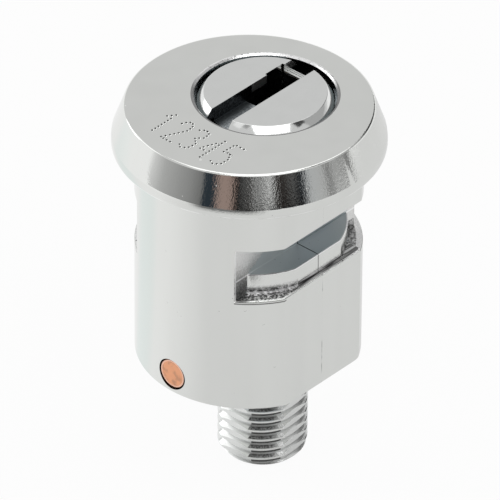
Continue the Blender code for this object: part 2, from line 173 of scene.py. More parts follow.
# Housing's plate: sizes of its noises, and the side where the bevel's peel is strong
WAVE_SIZE = 2.2 * MM
PEEL_SIZE = 0.2 * MM
GRAIN_SIZE = 0.13 * MM
COARSE_SIZE = 0.24 * MM
STREAK_SIZE = 0.16 * MM
PIT_SIZE = 0.6 * MM
SPECK_SIZE = 0.3 * MM
PEEL_SIDE = math.radians(-48.22)
PEEL_START = (-4.5 * MM, -2.5 * MM)
PLATE_RELIEF = 0.03 * MM

# Housing's plate: how near a face counts as on it, and patches in the clip grooves, with their painted shade
# and the painted highlights along their edges
HAIR = 0.02 * MM
TOUCH = 0.03 * MM
SIDE_SKIN = 0.1 * MM
BEND_SKIN = 0.05 * MM
ROUGH_END = -2.6 * MM
RING_START = 5.2 * MM
FOOT_LINE_TOP = GROOVE_LEDGE + 0.2 * MM
FOOT_TOP = GROOVE_LEDGE + 0.42 * MM
ROUGH_TOP = GROOVE_LEDGE + 0.9 * MM
LIP_LINE_WIDTH = 0.27 * MM
LIP_LINE_GAPS = 0.4
END_LINE_WIDTH = 0.2 * MM
END_LEAN = 1.5
END_RAGGEDNESS = 1.6 * MM
# Where the painted shade on the grooves' left ends fades out upward.
END_FADE = (GROOVE_LEDGE + 0.4 * MM, GROOVE_TOP - 1.2 * MM)
STEP_SEAM = (-0.04 * MM, 0.05 * MM)
WALL_TONE = (0.6, 0.635, 0.645, 1)
SIDE_END_TONE = (0.6, 0.66, 0.7, 1)

# Housing's plate: a painted shade line and the parting line on its skin, a broken painted highlight along the
# flange's edge, and the recess with its painted shade and highlights
UNDER_LIP_END = -4.7 * MM
UNDER_LIP_BAND = (GROOVE_LEDGE - 0.26 * MM, GROOVE_LEDGE - 0.13 * MM)
LOW_SEAM = (-0.02 * MM, 0.06 * MM)
LOW_SEAM_BREAKS = 1.6 * MM
EDGE_GLINT_SIZE = 1.1 * MM
EDGE_GLINT_BAND = (FACE - FLANGE_HEIGHT - MM, FACE - FLANGE_HEIGHT + 0.1 * MM)
# Where the painted highlights on the recess's lip lie.
LIP_HIGHLIGHT_SIDE = math.radians(42)
LIP_HIGHLIGHT_START = (1.0 * MM, 3.5 * MM)
SLOT_SHADOW_START = PLUG_X + 4 * MM
SLOT_SHADOW_HALF_WIDTH = 2.6 * MM

# Plug's plate
PLUG_PATCH_SIZE = 1.5 * MM
PLUG_GRAIN_SIZE = 0.14 * MM
ENTRY_SKIN = 0.03 * MM
ENTRY_FADE = (1.1 * MM, 0.1 * MM)
ENTRY_EDGE_WIDTH = 0.14 * MM
SILL_SKIN = 0.2 * MM
CORNER_SIDE = 1.25 * MM
CORNER_FRONT = -1.5 * MM
FLANK_BAND = (TAIL_ROOT_RADIUS + 0.17 * MM, TAIL_RADIUS - 0.06 * MM)
FLANK_FADE = (-1.2 * MM, -2.4 * MM)
ROOT_SKIN = 0.04 * MM
WEDGE_FADE = (-1.2 * MM, 1.6 * MM)
WEDGE_REACH = TAIL_ROOT_RADIUS + 0.28 * MM
SPARKLE_BAND = (-1.75 * MM, 0)

# Copper pin's end
COPPER_RIM = 0.12 * MM
COPPER_RING = 0.26 * MM
COPPER_STAIN_SIZE = 0.7 * MM
COPPER_GRAIN_SIZE = 0.12 * MM

# Pins and springs
METAL_PATCH_SIZE = 0.5 * MM
METAL_GRAIN_SIZE = 0.08 * MM

# Facets
ROUND_FACETS = 240
PLUG_FACETS = 192
SMALL_FACETS = 48
DENT_FACETS = 8
ARC_STEPS = 4
SHARP_ANGLE = math.radians(28)
LARGE_FACE_WEIGHT = 100
MARGIN = 1.0 * MM
SNAP = 0.0001 * MM
EDGE_SNAP = 0.01 * MM

# Camera, from the photograph's ellipses and edges
CAMERA_AZIMUTH = math.radians(-48.22)
CAMERA_ELEVATION = math.radians(35.03)
CAMERA_ROLL = math.radians(0.45)
CAMERA_DISTANCE = 717.5 * MM
CAMERA_SIDE_SHIFT = 0.13 * MM
CAMERA_AIM_DEPTH = 15.39 * MM
CAMERA_LENS = 593.0
SENSOR_WIDTH = 36.0

# Studio, with bearings in degrees from the camera's side of the lock towards its right
WORLD_SHADE = 0.7
FLOOR_SHADE = 0.84
FLOOR_GLOW = 0.94
FLOOR_GLOW_IN_METAL = 0.26
FLOOR_GLOW_AT_LEFT = 0.57
FLOOR_LIGHT_SIDE = -115.0
FLOOR_DARK_SIDE = -17.0
FLOOR_DARK_SHADE = 0.22
FLOOR_DARK_REACH = (0.057, 0.105)
FLOOR_FAR_REACH = (0.08, 0.2)
FLOOR_FAR_GLOW = 0.3
FLOOR_TINT = (0.93, 0.985, 0.98, 1)
FLOOR_SIZE = 6.0
FLOOR_LEVEL = -0.05 * MM
SOFTBOX_DISTANCE = 0.75
CARD_DISTANCE = 0.85
ROOM_DISTANCE = 0.33
ROOM_HEIGHT = 0.115
SKIRTING_HEIGHT = 0.041
SKIRTING_BEARINGS = (-13, 46)
STRIPE_BLUR = 0.25
WHITE = gray(1.0)
PALE = gray(0.72)
SLATE = (0.028, 0.038, 0.048, 1)
ROSE = (0.33, 0.245, 0.215, 1)
SOOT = gray(0.02)
BLACK = gray(0.004)
UMBER = (0.035, 0.03, 0.028, 1)
DUSK = gray(0.12)
STRIPE = gray(0.46)
LEFT_STRIPES = (
    (-180, -90, WHITE, WHITE),
    (-89, -83, WHITE, PALE),
    (-82, -71, gray(0.68), gray(0.47)),
    (-70, -48, gray(0.46), gray(0.3)),
    (-47, -36.5, gray(0.29), gray(0.17)),
    (-36.5, -26, SLATE, SLATE),
    (-26, -12.4, ROSE, ROSE),
    (-12.4, -5.2, BLACK, SOOT),
    (-5.2, -1.2, DUSK, DUSK),
    (-1.2, 0, UMBER, UMBER),
)
RIGHT_STRIPES = (
    (0, 3.4, UMBER, SOOT),
    (3.4, 7, PALE, DUSK),
    (7, 9, SOOT, SOOT),
    (9, 11.7, PALE, STRIPE),
    (11.7, 14, BLACK, BLACK),
    (14, 16, WHITE, WHITE),
    (16, 18, BLACK, BLACK),
    (18, 20.3, WHITE, DUSK),
    (21, 30.6, UMBER, UMBER),
    (31.4, 37.9, DUSK, DUSK),
    (37.9, 45, BLACK, SLATE),
    (46.2, 64, (0.5, 0.51, 0.52, 1), gray(0.48)),
    (64.5, 67.5, DUSK, DUSK),
    (68, 86, STRIPE, gray(0.3)),
    (86.5, 90, SOOT, DUSK),
    (91, 180, WHITE, WHITE),
)

# Lamps and cards: name, bearing, elevation, size and shade
SOFTBOXES = (
    ("overhead_softbox", 15.0, 57.0, (0.62, 0.3), 1.6),
    ("left_softbox", -122.0, 18.0, (0.3, 0.2), 1.5),
)
CARDS = (
    ("right_flag", 103.0, 33.0, (0.62, 0.42), 0.45),
    ("dark_flag", 72.0, 49.0, (0.2, 0.24), 0.06),
    ("rear_flag", 142.0, 30.0, (0.5, 0.3), 0.05),
    ("pale_card", -58.0, 52.0, (0.16, 0.2), 0.95),
    ("smudge_card", -43.0, 56.0, (0.1, 0.16), 0.35),
    ("left_card", -112.0, 32.0, (0.6, 0.36), 1.25),
    ("top_card", 0.0, 92.0, (0.9, 0.6), 1.5),
    ("edge_card", 116.0, 52.0, (0.3, 0.24), 1.4),
)


def deselect_all():
    bpy.ops.object.select_all(action="DESELECT")


def only(item):
    """Makes one object the only selected and active one."""
    deselect_all()
    item.select_set(True)
    bpy.context.view_layer.objects.active = item
    return item


def edit_all(item):
    """Opens a piece in edit mode with all of it selected."""
    only(item)
    bpy.ops.object.mode_set(mode="EDIT")
    bpy.ops.mesh.select_all(action="SELECT")


def apply_place(item):
    only(item)
    bpy.ops.object.transform_apply(location=True, rotation=True, scale=True)
    return item


def rounded(corners, steps=ARC_STEPS):
    """A profile whose corners, given as (radius, level, rounding), are turned into arcs."""
    points = []
    for i, (radius, level, rounding) in enumerate(corners):
        here = Vector((radius, level))
        if rounding == 0 or i in (0, len(corners) - 1):
            points.append(here)
            continue
        before = (Vector(corners[i - 1][:2]) - here).normalized()
        after = (Vector(corners[i + 1][:2]) - here).normalized()
        half = before.angle(after) / 2
        reach = rounding / math.tan(half)
        middle = here + (before + after).normalized() * rounding / math.sin(half)
        start = (here + before * reach - middle).normalized()
        end = (here + after * reach - middle).normalized()
        for step in range(steps + 1):
            points.append(middle + start.slerp(end, step / steps) * rounding)
    return points


def turn(name, profile, facets, center=0.0):
    """A turned solid about a vertical axis at x = center, pulled down ring by ring from a disc."""
    radius, level = profile[0]
    deselect_all()
    bpy.ops.mesh.primitive_circle_add(vertices=facets, radius=radius, fill_type="NGON",
                                      location=(center, 0.0, level))
    item = bpy.context.object
    item.name = name
    edit_all(item)
    for next_radius, next_level in profile[1:]:
        bpy.ops.mesh.extrude_region_move(TRANSFORM_OT_translate={"value": (0, 0, next_level - level)})
        scale = next_radius / radius
        bpy.ops.transform.resize(value=(scale, scale, 1), center_override=(center, 0.0, next_level))
        radius, level = next_radius, next_level
    bpy.ops.mesh.select_all(action="SELECT")
    bpy.ops.mesh.normals_make_consistent(inside=False)
    bpy.ops.object.mode_set(mode="OBJECT")
    return apply_place(item)


def block(name, low, high):
    """A box between two corners."""
    low, high = Vector(low), Vector(high)
    deselect_all()
    bpy.ops.mesh.primitive_cube_add(size=1, location=(low + high) / 2, scale=high - low)
    bpy.context.object.name = name
    return apply_place(bpy.context.object)


def rod(name, radius, start, end, level):
    """A round rod along X."""
    deselect_all()
    bpy.ops.mesh.primitive_cylinder_add(vertices=SMALL_FACETS, radius=radius, depth=end - start,
                                        location=((start + end) / 2, 0, level),
                                        rotation=(0, math.radians(90), 0))
    bpy.context.object.name = name
    return apply_place(bpy.context.object)


def combine(item, other, operation="DIFFERENCE"):
    """Cuts or joins one piece with another, which is used up."""
    only(item)
    bpy.ops.object.modifier_add(type="BOOLEAN")
    modifier = item.modifiers[-1]
    modifier.operation = operation
    modifier.object = other
    modifier.solver = "MANIFOLD"
    bpy.ops.object.modifier_apply(modifier=modifier.name)
    bpy.data.objects.remove(other, do_unlink=True)
    return item


def join(items):
    deselect_all()
    for item in items:
        item.select_set(True)
    bpy.context.view_layer.objects.active = items[0]
    bpy.ops.object.join()
    return items[0]


def smooth(item):
    """Shades round faces smooth, with the large faces ruling the normals, so that flats stay flat."""
    only(item)
    bpy.ops.object.shade_smooth_by_angle(angle=SHARP_ANGLE)
    bpy.ops.object.modifier_add(type="WEIGHTED_NORMAL")
    modifier = item.modifiers[-1]
    modifier.weight = LARGE_FACE_WEIGHT
    modifier.keep_sharp = True
    bpy.ops.object.modifier_apply(modifier=modifier.name)
    return item


def ease_edges(item, chosen):
    """Breaks the sharp edges whose two ends pass a test on their places."""
    only(item)
    bpy.ops.object.mode_set(mode="EDIT")
    bpy.ops.mesh.select_mode(type="EDGE")
    bpy.ops.mesh.select_all(action="DESELECT")
    bpy.ops.object.mode_set(mode="OBJECT")
    places = [vertex.co for vertex in item.data.vertices]
    for edge in item.data.edges:
        edge.select = chosen(*[places[end] for end in edge.vertices])
    bpy.ops.object.mode_set(mode="EDIT")
    bpy.ops.mesh.bevel(offset=CUT_EDGE_EASE, segments=2, clamp_overlap=False)
    bpy.ops.mesh.select_mode(type="VERT")
    bpy.ops.object.mode_set(mode="OBJECT")
    return item


def copy_of(item):
    """A copy with its own mesh."""
    only(item)
    bpy.ops.object.duplicate()
    return bpy.context.object


def slice_off(item, point, normal):
    """Cuts the piece with a plane, keeps the side behind the plane and closes it."""
    edit_all(item)
    bpy.ops.mesh.bisect(plane_co=point, plane_no=normal, use_fill=True, clear_outer=True, threshold=SNAP)
    bpy.ops.object.mode_set(mode="OBJECT")
    return item


# Housing

def groove_cutter(side):
    """One clip groove: a slot as deep as the web, less the D-shaped step along its bottom."""
    wide = FLANGE_RADIUS + MARGIN
    near, far = sorted((side * GROOVE_WALL, side * wide))
    cutter = block("groove_cutter", (-wide, near, GROOVE_LEDGE), (wide, far, GROOVE_TOP))
    deselect_all()
    bpy.ops.mesh.primitive_cylinder_add(vertices=ROUND_FACETS, radius=STEP_RADIUS,
                                        depth=STEP_LEVEL - GROOVE_LEDGE + MARGIN,
                                        location=(0, 0, (STEP_LEVEL + GROOVE_LEDGE - MARGIN) / 2))
    step = apply_place(bpy.context.object)
    for way in (1, -1):
        slice_off(step, (0, way * STEP_FLAT, 0), (0, way, 0))
    return combine(cutter, step)


def bend_cutter():
    """The shallow seat round the +X end, where the clip's bend lies."""
    wide = FLANGE_RADIUS + MARGIN
    cutter = block("bend_cutter", (MARGIN, -BEND_HALF_WIDTH, GROOVE_LEDGE),
                   (wide, BEND_HALF_WIDTH, GROOVE_TOP))
    core = turn("bend_core", [(BEND_RADIUS, GROOVE_TOP + MARGIN), (BEND_RADIUS, GROOVE_LEDGE - MARGIN)],
                ROUND_FACETS)
    return combine(cutter, core)


def past_step(place):
    """How far a place lies outside the step's outline. Negative inside it."""
    return max(Vector((place.x, place.y)).length - STEP_RADIUS, abs(place.y) - STEP_FLAT)


def on_skin(place):
    radius = Vector((place.x, place.y)).length
    return abs(radius - BODY_RADIUS) < EDGE_SNAP or abs(abs(place.y) - FLAT_DISTANCE) < EDGE_SNAP


def on_groove_edge(first, second):
    """True along the roof and the ledge of a clip groove, where they meet the body's skin."""
    level = min(abs(first.z - GROOVE_TOP), abs(first.z - GROOVE_LEDGE)) < EDGE_SNAP
    return level and abs(first.z - second.z) < EDGE_SNAP and on_skin(first) and on_skin(second)


def on_step_edge(first, second):
    return all(abs(past_step(place)) < EDGE_SNAP and abs(place.z - STEP_LEVEL) < EDGE_SNAP
               for place in (first, second))


def press_seam(item):
    """The parting line of the casting down both flats: three cuts, with the middle one pressed in."""
    only(item)
    bpy.ops.object.mode_set(mode="EDIT")
    for shift in (-SEAM_HALF_WIDTH, 0.0, SEAM_HALF_WIDTH):
        bpy.ops.mesh.select_all(action="SELECT")
        bpy.ops.mesh.bisect(plane_co=(shift, 0, 0), plane_no=(1, 0, 0), threshold=SNAP)
    bpy.ops.mesh.select_all(action="DESELECT")
    bpy.ops.object.mode_set(mode="OBJECT")
    low, high = BODY_END + BODY_END_ROUND, FACE - FLANGE_HEIGHT - FLAT_ROOT
    for vertex in item.data.vertices:
        place = vertex.co
        outer = abs(place.y) > GROOVE_WALL - EDGE_SNAP
        vertex.select = abs(place.x) < SEAM_HALF_WIDTH / 2 and outer and low < place.z < high
    bpy.ops.object.mode_set(mode="EDIT")
    bpy.ops.transform.shrink_fatten(value=-SEAM_DEPTH)
    bpy.ops.object.mode_set(mode="OBJECT")
    return item


def bore_cutter():
    mouth = RECESS_RADIUS + RECESS_EDGE
    profile = [
        (mouth + MARGIN, FACE + MARGIN),
        (mouth, FACE),
        (RECESS_RADIUS, FACE - RECESS_EDGE),
        (RECESS_RADIUS, FACE - RECESS_DEPTH),
        (BORE_RADIUS, FACE - RECESS_DEPTH),
        (BORE_RADIUS, BODY_END - MARGIN),
    ]
    return turn("bore_cutter", profile, PLUG_FACETS, PLUG_X)


# Strokes of each digit, in shares of its width and height
DIGIT_STROKES = {
    "1": [(0.1, 0.8), (0.55, 1.0), (0.55, 0.0)],
    "2": [(0.0, 0.8), (0.25, 0.97), (0.6, 1.0), (0.95, 0.85), (0.95, 0.62), (0.0, 0.0), (1.0, 0.0)],
    "3": [(0.0, 0.88), (0.4, 1.0), (0.9, 0.9), (0.95, 0.7), (0.45, 0.54), (1.0, 0.36), (0.9, 0.1), (0.4, 0.0),
          (0.0, 0.12)],
    "4": [(0.8, 0.0), (0.8, 1.0), (0.0, 0.3), (1.05, 0.3)],
    "5": [(0.95, 1.0), (0.1, 1.0), (0.05, 0.58), (0.6, 0.62), (1.0, 0.4), (0.95, 0.12), (0.5, 0.0),
          (0.0, 0.08)],
}


def dots_along(points, spacing):
    """Evenly spaced points along a line of straight strokes, with none on top of another."""
    dots = [points[0]]
    left = spacing
    for start, end in zip(points, points[1:]):
        length = (end - start).length
        at = left
        while at <= length:
            dot = start.lerp(end, at / length)
            if all((dot - other).length > spacing * DOT_CLEARANCE for other in dots):
                dots.append(dot)
            at += spacing
        left = at - length
    return dots


def number_places():
    """Where each blow lands. The number reads along -Y, with its top towards +X."""
    first = -NUMBER_ADVANCE * (len(NUMBER) - 1) / 2
    places = []
    for index, digit in enumerate(NUMBER):
        strokes = [Vector((x * NUMBER_WIDTH, y * NUMBER_HEIGHT)) for x, y in DIGIT_STROKES[digit]]
        for dot in dots_along(strokes, DOT_SPACING):
            along = first + index * NUMBER_ADVANCE + dot.x - NUMBER_WIDTH / 2
            across = dot.y - NUMBER_HEIGHT / 2
            places.append((NUMBER_CENTER.x + across, NUMBER_CENTER.y - along))
    return places


def number_cones(low_radius, high_radius, height, shift):
    """One small cone for each blow, half of it above the face."""
    cones = []
    for x, y in number_places():
        deselect_all()
        bpy.ops.mesh.primitive_cone_add(vertices=DENT_FACETS, radius1=low_radius * 2,
                                        radius2=high_radius * 2, depth=height * 2,
                                        location=(x, y + shift, FACE))
        cones.append(bpy.context.object)
    return apply_place(join(cones))


def make_housing():
    wide = FLANGE_RADIUS + MARGIN
    land_step = (FLANGE_HEIGHT - BEVEL_HEIGHT) / len(LAND_RADII)
    profile = rounded([
        (FACE_RADIUS - 2 * RIM_ROUND, FACE, 0),
        (FACE_RADIUS, FACE, RIM_ROUND),
        *[(radius, FACE - BEVEL_HEIGHT - step * land_step, 0) for step, radius in enumerate(LAND_RADII)],
        (SEAT_RADIUS, FACE - FLANGE_HEIGHT, SEAT_EDGE_ROUND / 3),
        (BODY_RADIUS, FACE - FLANGE_HEIGHT, 0),
        (BODY_RADIUS, BODY_END, BODY_END_ROUND),
        (BODY_RADIUS - 2 * BODY_END_ROUND, BODY_END, 0),
    ])
    housing = turn("housing_casting", profile, ROUND_FACETS)
    for side in (1, -1):
        near, far = sorted((side * FLAT_DISTANCE, side * wide))
        flat = block("flat_cutter", (-wide, near, BODY_END - MARGIN),
                     (wide, far, FACE - FLANGE_HEIGHT - FLAT_ROOT))
        combine(housing, flat)
        combine(housing, groove_cutter(side))
    combine(housing, bend_cutter())
    ease_edges(housing, on_groove_edge)
    ease_edges(housing, on_step_edge)
    press_seam(housing)
    combine(housing, bore_cutter())
    for index in range(PIN_COUNT):
        level = FACE - FIRST_PIN_DEPTH - index * PIN_PITCH
        combine(housing, rod("chamber_cutter", CHAMBER_RADIUS, CHAMBER_END, PLUG_X, level))
    combine(housing, rod("pin_hole_cutter", PIN_HOLE_RADIUS, -wide, PLUG_X, RETAINER_LEVEL))
    combine(housing, number_cones(BURR_RADIUS, 0, BURR_HEIGHT, -BURR_SHIFT), "UNION")
    combine(housing, number_cones(0, DOT_RADIUS, DOT_DEPTH, 0))
    smooth(housing)
    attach(housing, "housing")
    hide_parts("housing")
    return housing


# Plug

def keyway_block(name, start, end, depth, top=-MARGIN):
    half = KEYWAY_WIDTH / 2
    return block(name, (PLUG_X + start, KEYWAY_SHIFT - half, FACE - depth),
                 (PLUG_X + end, KEYWAY_SHIFT + half, FACE - top))


def cut_keyway(plug):
    beyond = COLLAR_RADIUS + MARGIN
    combine(plug, keyway_block("keyway_cutter", SHELF_END, KEYWAY_END, KEYWAY_DEPTH))
    combine(plug, keyway_block("pin_room_cutter", KEYWAY_START, SHELF_END + MARGIN, KEYWAY_DEPTH,
                               ENTRY_DEPTH + SHELF_THICKNESS))
    combine(plug, keyway_block("entry_cutter", -beyond, SHELF_END + MARGIN, ENTRY_DEPTH))
    combine(plug, keyway_block("sill_cutter", KEYWAY_END - MARGIN, beyond, SILL_DEPTH))
    combine(plug, keyway_block("rear_cutter", KEYWAY_END + SILL_WIDTH, beyond, REAR_NOTCH_DEPTH))
    side = KEYWAY_SHIFT + KEYWAY_WIDTH / 2
    combine(plug, block("jog_cutter", (PLUG_X + JOG_START, side - MARGIN, FACE - JOG_DEPTH),
                        (PLUG_X + KEYWAY_END, side + JOG_WIDTH, FACE + MARGIN)))
    for share in SILL_SCORES:
        start = KEYWAY_END + SILL_WIDTH * share
        combine(plug, keyway_block("score_cutter", start, start + SCORE_WIDTH, SILL_DEPTH + SCORE_WIDTH))


def key_chamber(level):
    """A chamber for a key pin, with a cone at its inner end."""
    start = PLUG_X - PLUG_RADIUS - MARGIN
    shoulder = KEY_CHAMBER_TIP - KEY_CHAMBER_CONE
    profile = [
        (KEY_CHAMBER_TIP_RADIUS, KEY_CHAMBER_TIP - start),
        (CHAMBER_RADIUS, shoulder - start),
        (CHAMBER_RADIUS, 0.0),
    ]
    cutter = turn("key_chamber_cutter", profile, SMALL_FACETS)
    cutter.rotation_euler.y = math.radians(90)
    cutter.location = (start, 0.0, level)
    return apply_place(cutter)


def turn_groove_cutter():
    """The arc that the retaining pin runs in, cut a quarter turn round the plug, with a little room over."""
    reach = math.asin(RETAINER_RADIUS / TURN_GROOVE_RADIUS) + TURN_ROOM
    low = RETAINER_LEVEL - TURN_GROOVE_HALF_HEIGHT
    high = RETAINER_LEVEL + TURN_GROOVE_HALF_HEIGHT
    outer = PLUG_RADIUS + MARGIN
    ring = turn("turn_groove_cutter", [(outer, high), (outer, low)], PLUG_FACETS, PLUG_X)
    core = turn("turn_groove_core", [(TURN_GROOVE_RADIUS, high + MARGIN), (TURN_GROOVE_RADIUS, low - MARGIN)],
                PLUG_FACETS, PLUG_X)
    combine(ring, core)
    axis = (PLUG_X, 0, 0)
    first = copy_of(ring)
    slice_off(first, axis, (math.sin(reach), math.cos(reach), 0))
    slice_off(first, axis, (1, 0, 0))
    slice_off(ring, axis, (math.cos(reach), math.sin(reach), 0))
    slice_off(ring, axis, (0, 1, 0))
    return combine(first, ring, "UNION")


def threaded_rod():
    """A rod with a helical thread: a ridge profile spun round the tail's axis with the screw modifier."""
    pitches = math.ceil(SHOULDER / THREAD_PITCH) + SPARE_PITCHES
    half_flank = (THREAD_PITCH - THREAD_CREST - THREAD_ROOT) / 2
    moves = [
        (TAIL_RADIUS - TAIL_ROOT_RADIUS, half_flank),
        (0.0, THREAD_CREST),
        (TAIL_ROOT_RADIUS - TAIL_RADIUS, half_flank),
        (0.0, THREAD_ROOT),
    ]
    deselect_all()
    bpy.ops.mesh.primitive_plane_add(size=MM, location=(TAIL_ROOT_RADIUS, 0, -2 * THREAD_PITCH))
    item = apply_place(bpy.context.object)
    item.name = "threaded_rod"
    edit_all(item)
    bpy.ops.mesh.merge(type="CENTER")
    for _ in range(pitches):
        for out, up in moves:
            bpy.ops.mesh.extrude_region_move(TRANSFORM_OT_translate={"value": (out, 0, up)})
    bpy.ops.object.mode_set(mode="OBJECT")
    only(item)
    bpy.ops.object.modifier_add(type="SCREW")
    screw = item.modifiers[-1]
    screw.steps = SCREW_STEPS
    screw.render_steps = SCREW_STEPS
    screw.screw_offset = THREAD_PITCH
    screw.use_merge_vertices = True
    screw.merge_threshold = SCREW_MERGE
    bpy.ops.object.modifier_apply(modifier=screw.name)
    edit_all(item)
    bpy.ops.mesh.remove_doubles(threshold=THREAD_MERGE)
    bpy.ops.object.mode_set(mode="OBJECT")
    slice_off(item, (0, 0, SHOULDER + ROD_SPARE), (0, 0, 1))
    slice_off(item, (0, 0, -ROD_SPARE), (0, 0, -1))
    edit_all(item)
    bpy.ops.mesh.normals_make_consistent(inside=False)
    bpy.ops.object.mode_set(mode="OBJECT")
    item.location.x = PLUG_X
    return apply_place(item)


def make_tail():
    """The threaded rod trimmed by the tail's blank, which has four flats and a chamfered end."""
    outer = TAIL_RADIUS + MARGIN
    profile = [(outer, SHOULDER + MARGIN), (outer, TAIL_CHAMFER + MARGIN), (TAIL_RADIUS - TAIL_CHAMFER, 0.0)]
    blank = turn("tail_blank", profile, SMALL_FACETS * 2, PLUG_X)
    for way in (1, -1):
        slice_off(blank, (PLUG_X + way * TAIL_FLAT, 0, 0), (way, 0, 0))
        slice_off(blank, (PLUG_X, way * TAIL_FLAT, 0), (0, way, 0))
    return combine(threaded_rod(), blank, "INTERSECT")


def make_plug():
    profile = rounded([
        (PLUG_FACE_RADIUS - 3 * PLUG_EDGE_ROUND, PLUG_FACE, 0),
        (PLUG_FACE_RADIUS, PLUG_FACE, PLUG_EDGE_ROUND),
        (COLLAR_RADIUS, PLUG_FACE - COLLAR_DROP, PLUG_EDGE_ROUND),
        (COLLAR_RADIUS, PLUG_FACE - COLLAR_DEPTH, 0),
        (PLUG_RADIUS, PLUG_FACE - COLLAR_DEPTH, 0),
        (PLUG_RADIUS, SHOULDER, PLUG_EDGE_ROUND),
        (PLUG_RADIUS - 3 * PLUG_EDGE_ROUND, SHOULDER, 0),
    ], 2)
    plug = turn("plug_core", profile, PLUG_FACETS, PLUG_X)
    cut_keyway(plug)
    for index in range(PIN_COUNT):
        combine(plug, key_chamber(FACE - FIRST_PIN_DEPTH - index * PIN_PITCH))
    combine(plug, turn_groove_cutter())
    combine(plug, make_tail(), "UNION")
    smooth(plug)
    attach(plug, "plug")
    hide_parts("plug")
    return plug


# Materials

class Wire:
    """A shader socket whose arithmetic adds Math nodes."""

    def __init__(self, finish, socket):
        self.finish = finish
        self.socket = socket

    def math(self, operation, first, second=0.0):
        return self.finish.math(operation, first, second)

    def __add__(self, other):
        return self.math("ADD", self, other)

    __radd__ = __add__

    def __sub__(self, other):
        return self.math("SUBTRACT", self, other)

    def __rsub__(self, other):
        return self.math("SUBTRACT", other, self)

    def __mul__(self, other):
        return self.math("MULTIPLY", self, other)

    __rmul__ = __mul__

    def __gt__(self, other):
        return self.math("GREATER_THAN", self, other)

    def __lt__(self, other):
        return self.math("LESS_THAN", self, other)

    def __abs__(self):
        return self.math("ABSOLUTE", self)


class Finish:
    """A material under construction, with one method that adds any node."""

    def __init__(self, name):
        self.material = bpy.data.materials.new(name)
        self.material.use_nodes = True
        self.tree = self.material.node_tree
        self.shader = self.tree.nodes["Principled BSDF"]

    def node(self, kind, settings=None, inputs=None, output=0):
        """Adds a node: its settings first, then the values or links of its sockets."""
        made = self.tree.nodes.new(kind)
        for key, value in (settings or {}).items():
            if key == "stops":
                ramp_stops(made.color_ramp, value)
            else:
                setattr(made, key, value)
        for key, value in (inputs or {}).items():
            if isinstance(value, Wire):
                self.tree.links.new(value.socket, made.inputs[key])
            else:
                made.inputs[key].default_value = value
        return Wire(self, made.outputs[output])

    def math(self, operation, first, second=0.0):
        return self.node("ShaderNodeMath", {"operation": operation}, {0: first, 1: second})

    def place(self, stretch=(1, 1, 1)):
        """Object coordinates, stretched."""
        spot = self.node("ShaderNodeTexCoord", output="Object")
        return self.node("ShaderNodeMapping", inputs={"Vector": spot, "Scale": stretch})

    def axis(self, name):
        spot = self.node("ShaderNodeTexCoord", output="Object")
        return self.node("ShaderNodeSeparateXYZ", inputs={"Vector": spot}, output=name)

    def distance(self, center):
        """Distance from an upright axis at x = center."""
        return self.node("ShaderNodeVectorMath", {"operation": "DISTANCE"},
                         {0: self.place((1, 1, 0)), 1: (center, 0, 0)}, "Value")

    def along(self, turned, center=0.0):
        """Place along a level line through x = center."""
        way = (math.cos(turned), math.sin(turned), 0)
        line = self.node("ShaderNodeVectorMath", {"operation": "DOT_PRODUCT"},
                         {0: self.place(), 1: way}, "Value")
        return line - center * way[0]

    def noise(self, size, stretch=(1, 1, 1), detail=2.0, roughness=0.5):
        """Noise whose features are about as large as size."""
        return self.node("ShaderNodeTexNoise", {}, {"Vector": self.place(stretch), "Scale": 1 / size,
                                                    "Detail": detail, "Roughness": roughness})

    def soft_step(self, value, low, high, from_value=0.0, to_value=1.0):
        return self.node("ShaderNodeMapRange", {"interpolation_type": "SMOOTHSTEP"},
                         {"Value": value, "From Min": low, "From Max": high,
                          "To Min": from_value, "To Max": to_value})

    def most(self, first, *others):
        """The largest of several values."""
        for other in others:
            first = self.math("MAXIMUM", first, other)
        return first

    def mix(self, factor, first, second):
        return self.node("ShaderNodeMix", {"data_type": "RGBA"}, {0: factor, 6: first, 7: second}, 2)

    def mottled(self, noise, low, high, dark, light):
        """Two shades of gray in patches, which meet where the noise lies between two values."""
        return self.mix(self.soft_step(noise, low, high), gray(dark), gray(light))

    def layered(self, tone, layers):
        """Lays colours over a tone one by one, each where its mask is 1."""
        for mask, color in layers:
            tone = self.mix(mask, tone, color)
        return tone

    def bump(self, height, distance, strength):
        return self.node("ShaderNodeBump", {}, {"Height": height, "Distance": distance, "Strength": strength})

    def set(self, **values):
        """Sets the shader's sockets. Underscores stand for the spaces in their names."""
        for key, value in values.items():
            socket = self.shader.inputs[key.replace("_", " ")]
            if isinstance(value, Wire):
                self.tree.links.new(value.socket, socket)
            else:
                socket.default_value = value
        return self.material


def ramp_stops(ramp, stops):
    while len(ramp.elements) < len(stops):
        ramp.elements.new(0.5)
    for element, (position, color) in zip(ramp.elements, stops):
        element.position = position
        element.color = color


def inside(value, low, high):
    """1 where the value lies between two numbers."""
    return (value > low) * (value < high)


class Spot:
    """A point's coordinates and its distances from the plug's axis and the housing's."""

    def __init__(self, finish):
        self.x, self.y, self.z = (finish.axis(name) for name in "XYZ")
        self.from_plug = finish.distance(PLUG_X)
        self.from_axis = finish.distance(0)


